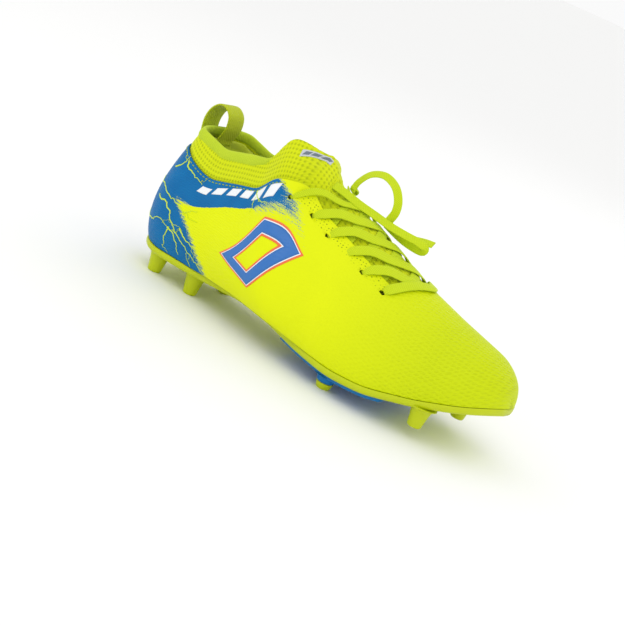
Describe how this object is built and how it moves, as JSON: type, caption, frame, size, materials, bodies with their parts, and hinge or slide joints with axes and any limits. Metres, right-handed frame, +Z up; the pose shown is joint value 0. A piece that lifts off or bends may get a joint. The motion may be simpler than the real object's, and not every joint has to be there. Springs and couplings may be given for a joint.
{
  "type": "soccer cleat",
  "caption": "Right-foot soccer cleat with a knit sock collar, criss-cross laces, heel pull tab, removable sockliner and moulded studs.",
  "frame": {"origin": "centre of the shoe's footprint box on the ground under the stud tips, without the free lace loop", "axes": "+X from heel to toe, +Y towards the inner (medial) side of the foot, +Z up"},
  "size_m": [0.2836, 0.0981, 0.1284],
  "materials": {
    "shell": "moulded synthetic, satin, embossed ripple",
    "knit": "diamond knit",
    "band": "ribbed knit",
    "lace": "flat woven polyester",
    "sole": "moulded TPU, satin",
    "blue": "moulded TPU, satin",
    "lining": "brushed textile over foam",
    "board": "non-woven board",
    "stiffener": "matte sheet",
    "label": "woven label",
    "webbing": "woven webbing"
  },
  "bodies": {
    "shoe": {"upper_shell": "shell", "heel_counter": "stiffener", "toe_puff": "stiffener", "knit_collar": "knit", "collar_band": "band", "collar_padding": "lining", "tongue_lower": "knit", "quarter_lining": "lining", "vamp_lining": "lining", "throat_gusset_lateral": "knit", "throat_gusset_medial": "knit", "outsole_plate": "sole", "forefoot_insert": "blue", "stud_tip_lateral": "sole", "stud_tip_medial": "sole", "lasting_board": "board", "lace_bar_under_1": "lace", "lace_bar_under_2": "lace", "lace_bar_under_3": "lace", "lace_bar_under_4": "lace", "lace_bar_under_5": "lace", "lace_bar_over_1": "lace", "lace_bar_over_2": "lace", "lace_bar_over_3": "lace", "lace_bar_over_4": "lace", "lace_bar_over_5": "lace", "lace_bar_foot": "lace", "lace_knot": "lace", "lace_loop_standing": "lace", "lace_loop_lying": "lace", "lace_tail": "lace", "pull_tab_end_outer": "webbing", "pull_tab_end_inner": "webbing"},
    "tab": {"pull_tab": "webbing"},
    "flap": {"tongue_flap": "knit", "tongue_label": "label"},
    "insole": {"sockliner": "lining"}
  },
  "joints": [
    {"name": "pull_tab_bend", "type": "hinge", "parent": "shoe", "child": "tab", "pos_m": [-0.12315, 0.00305, 0.103], "axis": [0, 1, 0], "range_deg": [-12, 15]},
    {"name": "tongue_flap_bend", "type": "hinge", "parent": "shoe", "child": "flap", "pos_m": [-0.02615, 0.00305, 0.115], "axis": [0, 1, 0], "range_deg": [-10, 12]},
    {"name": "sockliner_lift", "type": "hinge", "parent": "shoe", "child": "insole", "pos_m": [0.12185, 0.00305, 0.0339], "axis": [0, 1, 0], "range_deg": [0, 5]}
  ]
}
